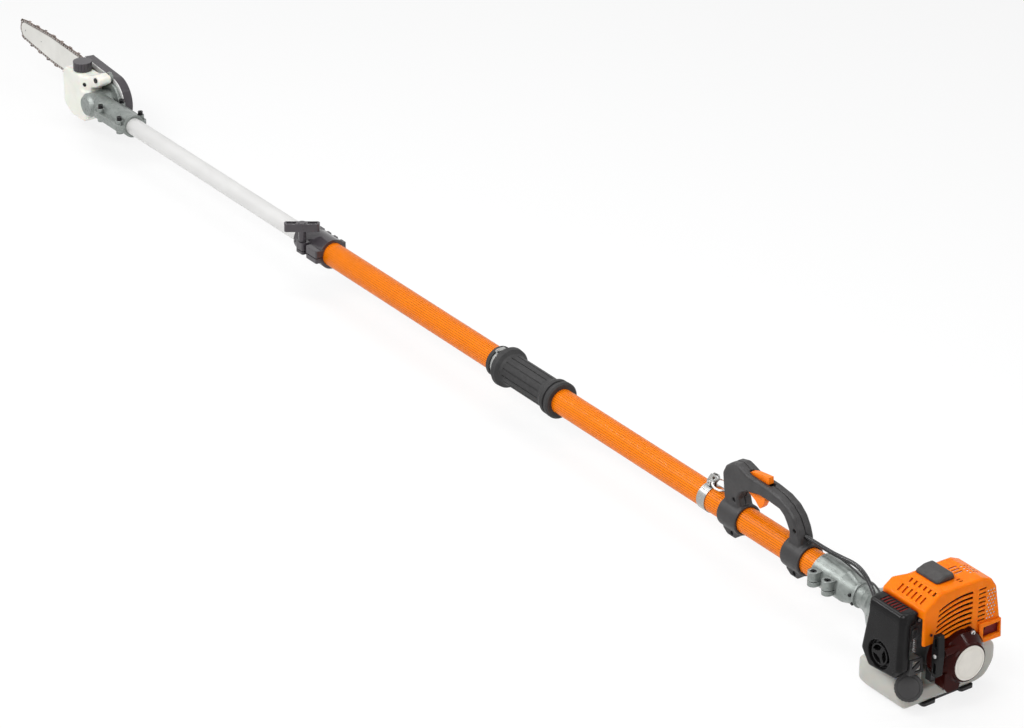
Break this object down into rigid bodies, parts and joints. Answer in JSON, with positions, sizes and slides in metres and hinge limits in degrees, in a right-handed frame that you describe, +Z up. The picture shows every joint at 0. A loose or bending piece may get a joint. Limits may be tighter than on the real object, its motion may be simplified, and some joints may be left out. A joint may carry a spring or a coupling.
{
  "type": "telescoping pole saw",
  "caption": "Petrol pole saw: engine on a stand, orange fluted tube with loop handle and foam grip, sliding inner tube, gear head with guide bar and chain.",
  "frame": {"origin": "ground point under the middle of the engine stand", "axes": "+X along the pole towards the saw head, +Y the operator's left (air filter side), +Z up"},
  "size_m": [3.3734, 0.228, 0.245],
  "materials": {
    "tube_orange": "gloss orange enamel over fluted tube",
    "tube_silver": "satin anodised",
    "cast_grey": "shot-blasted casting",
    "dark_alloy": "dark casting",
    "bar_steel": "satin ground plate",
    "chain_steel": "oiled steel",
    "screw_black": "black oxide",
    "screw_zinc": "zinc plated",
    "shaft_steel": "ground",
    "black_plastic": "fine grained moulding",
    "black_gloss": "smooth moulding",
    "brown_black": "smooth moulding",
    "orange_plastic": "smooth moulding",
    "trigger_orange": "smooth moulding",
    "tank_grey": "milky blow moulding",
    "tank_cream": "milky moulding",
    "foam_black": "closed-cell foam sleeve",
    "cable_black": "satin sheath",
    "rubber_dark": "matt",
    "disc_white": "satin plain disc",
    "bush_white": "natural",
    "rope": "braided cord",
    "band_steel": "bright strip"
  },
  "bodies": {
    "machine": {"outer_tube": "tube_orange", "mouth_bush": "bush_white", "shaft_bushes": "rubber_dark", "telescope_collar": "black_plastic", "front_grip": "foam_black", "hose_clamp": "band_steel", "harness_band": "band_steel", "harness_bolt": "screw_zinc", "handle_left": "black_plastic", "handle_right": "black_plastic", "handle_screws": "screw_black", "tube_socket": "cast_grey", "socket_screws": "screw_black", "clutch_housing": "cast_grey", "crankcase": "dark_alloy", "cylinder_block": "dark_alloy", "spark_plug": "rubber_dark", "shroud": "orange_plastic", "plug_cover": "rubber_dark", "muffler": "dark_alloy", "starter_housing": "brown_black", "starter_disc": "disc_white", "starter_rope": "rope", "fuel_tank": "tank_grey", "stand": "black_plastic", "filter_cover": "black_gloss", "filter_base": "black_plastic", "carburettor": "dark_alloy", "throttle_cable": "cable_black", "stop_wire": "cable_black"},
    "boom": {"inner_tube": "tube_silver", "tail_bush": "bush_white", "gear_head": "cast_grey", "head_clamp": "cast_grey", "head_bolts": "screw_black", "guide_bar": "bar_steel", "saw_chain": "chain_steel", "sprocket_cover": "black_plastic", "bar_nut": "screw_zinc", "oil_tank": "tank_cream", "oil_screws": "screw_black"},
    "collar_knob": {"wing_knob": "black_plastic"},
    "oil_filler_cap": {"oil_cap": "black_plastic"},
    "rod": {"pinion_rod": "shaft_steel"},
    "chain_drive": {"bevel_gear": "shaft_steel", "drive_sprocket": "chain_steel"},
    "bar_nose": {"nose_sprocket": "chain_steel"},
    "drive_shaft": {"drive_tube": "shaft_steel", "shaft_guide": "bush_white"},
    "crank": {"crankshaft": "shaft_steel", "flywheel": "cast_grey", "clutch_rotor": "shaft_steel"},
    "trigger": {"throttle_trigger": "trigger_orange"},
    "trigger_lock": {"throttle_lock": "trigger_orange"},
    "sling_ring": {"harness_ring": "screw_zinc"},
    "pull_grip": {"starter_handle": "black_gloss"},
    "pull_reel": {"starter_reel": "bush_white"},
    "fuel_filler_cap": {"fuel_cap": "black_plastic"},
    "cover_knob": {"filter_knob": "black_gloss"},
    "choke": {"choke_lever": "black_plastic"}
  },
  "joints": [
    {"name": "telescope_slide", "type": "slide", "parent": "machine", "child": "boom", "axis": [1, 0, 0], "range_m": [-0.66, 0.25]},
    {"name": "collar_knob_turn", "type": "hinge", "parent": "machine", "child": "collar_knob", "pos_m": [1.93, 0.037, 0.148], "axis": [0, 0, 1], "range_deg": [0, 360]},
    {"name": "oil_cap_turn", "type": "hinge", "parent": "boom", "child": "oil_filler_cap", "pos_m": [2.925, -0.009, 0.158], "axis": [0, 0, 1], "range_deg": [0, 180]},
    {"name": "drive_spin", "type": "hinge", "parent": "machine", "child": "drive_shaft", "pos_m": [0.3, 0, 0.098], "axis": [1, 0, 0], "continuous": true},
    {"name": "rod_spin", "type": "hinge", "parent": "boom", "child": "rod", "pos_m": [2, 0, 0.098], "axis": [1, 0, 0], "continuous": true},
    {"name": "sprocket_spin", "type": "hinge", "parent": "boom", "child": "chain_drive", "pos_m": [2.848, 0, 0.098], "axis": [0, 1, 0], "continuous": true},
    {"name": "nose_spin", "type": "hinge", "parent": "boom", "child": "bar_nose", "pos_m": [3.24782, -0.0402, 0.13317], "axis": [0, 1, 0], "continuous": true},
    {"name": "crank_spin", "type": "hinge", "parent": "machine", "child": "crank", "pos_m": [0, 0, 0.098], "axis": [1, 0, 0], "continuous": true},
    {"name": "trigger_pull", "type": "hinge", "parent": "machine", "child": "trigger", "pos_m": [0.496, 0, 0.18], "axis": [0, 1, 0], "range_deg": [0, 14], "stiffness_Nm_per_rad": 0.6, "springref_deg": -8.59},
    {"name": "lock_press", "type": "hinge", "parent": "machine", "child": "trigger_lock", "pos_m": [0.486, 0, 0.198], "axis": [0, 1, 0], "range_deg": [-8, 0], "stiffness_Nm_per_rad": 0.4, "springref_deg": 5.73},
    {"name": "ring_swing", "type": "hinge", "parent": "machine", "child": "sling_ring", "pos_m": [0.594, 0, 0.14], "axis": [0, 1, 0], "range_deg": [0, 140]},
    {"name": "starter_pull", "type": "slide", "parent": "machine", "child": "pull_grip", "axis": [0, 1, 0], "range_m": [0, 0.55], "deforming": ["starter_rope"]},
    {"name": "reel_turn", "type": "hinge", "parent": "machine", "child": "pull_reel", "pos_m": [-0.086, 0, 0.098], "axis": [1, 0, 0], "range_deg": [-1055, 0]},
    {"name": "fuel_cap_turn", "type": "hinge", "parent": "machine", "child": "fuel_filler_cap", "pos_m": [-0.0413, 0.0813, 0.05], "axis": [-0.6202, 0.6202, 0.4802], "range_deg": [0, 180]},
    {"name": "cover_knob_turn", "type": "hinge", "parent": "machine", "child": "cover_knob", "pos_m": [-0.002, 0.1, 0.108], "axis": [0, 1, 0], "range_deg": [0, 180]},
    {"name": "choke_turn", "type": "hinge", "parent": "machine", "child": "choke", "pos_m": [0.022, 0.091, 0.084], "axis": [0, 1, 0], "range_deg": [-30, 0]}
  ],
  "couplings": [
    {"joint": "rod_spin", "follows": "drive_spin", "ratio": 1},
    {"joint": "sprocket_spin", "follows": "drive_spin", "ratio": 0.5},
    {"joint": "nose_spin", "follows": "drive_spin", "ratio": 0.41071},
    {"joint": "reel_turn", "follows": "starter_pull", "rad_per_m": -33.333}
  ]
}
